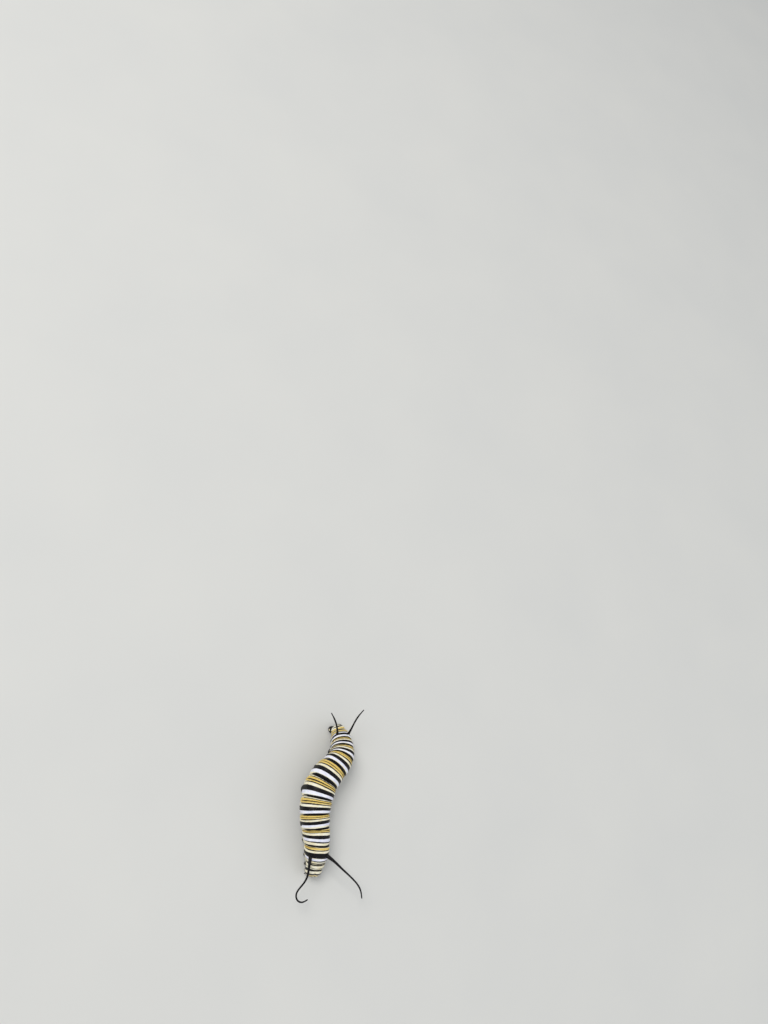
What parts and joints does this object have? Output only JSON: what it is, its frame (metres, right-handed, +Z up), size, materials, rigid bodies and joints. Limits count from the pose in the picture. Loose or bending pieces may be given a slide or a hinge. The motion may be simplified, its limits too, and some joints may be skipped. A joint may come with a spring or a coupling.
{
  "type": "monarch butterfly larva",
  "caption": "Life-size still model of a full-grown monarch butterfly larva at rest, its banded body bent in a gentle S, with black tentacles at both ends.",
  "frame": {"origin": "centre of the bounding box, on the floor that the soles stand on", "axes": "+Z up from the floor, -Y towards the head, +X towards the larva's own left"},
  "size_m": [0.014, 0.036, 0.0088],
  "materials": {
    "banded_skin": "soft, smooth and faintly waxy, ringed in black, bluish white, cream and yellow",
    "black_skin": "soft black skin with a low sheen",
    "head_capsule": "hard satin cuticle, cream with black arches",
    "horny_black": "hard glossy black cuticle"
  },
  "bodies": {
    "root": {"head": "head_capsule", "antenna_left": "horny_black", "antenna_right": "horny_black", "thorax_1": "banded_skin", "thorax_2": "banded_skin", "thorax_3": "banded_skin", "abdomen_1": "banded_skin", "abdomen_2": "banded_skin", "abdomen_3": "banded_skin", "abdomen_4": "banded_skin", "abdomen_5": "banded_skin", "abdomen_6": "banded_skin", "abdomen_7": "banded_skin", "abdomen_8": "banded_skin", "abdomen_9": "banded_skin", "abdomen_10": "banded_skin", "tentacle_front_left_1": "black_skin", "tentacle_front_left_2": "black_skin", "tentacle_front_left_3": "black_skin", "tentacle_front_right_1": "black_skin", "tentacle_front_right_2": "black_skin", "tentacle_front_right_3": "black_skin", "tentacle_rear_left_1": "black_skin", "tentacle_rear_left_2": "black_skin", "tentacle_rear_right_1": "black_skin", "tentacle_rear_right_2": "black_skin", "leg_left_1": "horny_black", "leg_left_2": "horny_black", "leg_left_3": "horny_black", "leg_right_1": "horny_black", "leg_right_2": "horny_black", "leg_right_3": "horny_black", "proleg_left_3": "black_skin", "proleg_left_4": "black_skin", "proleg_left_5": "black_skin", "proleg_left_6": "black_skin", "proleg_right_3": "black_skin", "proleg_right_4": "black_skin", "proleg_right_5": "black_skin", "proleg_right_6": "black_skin", "proleg_left_anal": "black_skin", "proleg_right_anal": "black_skin"}
  },
  "joints": []
}
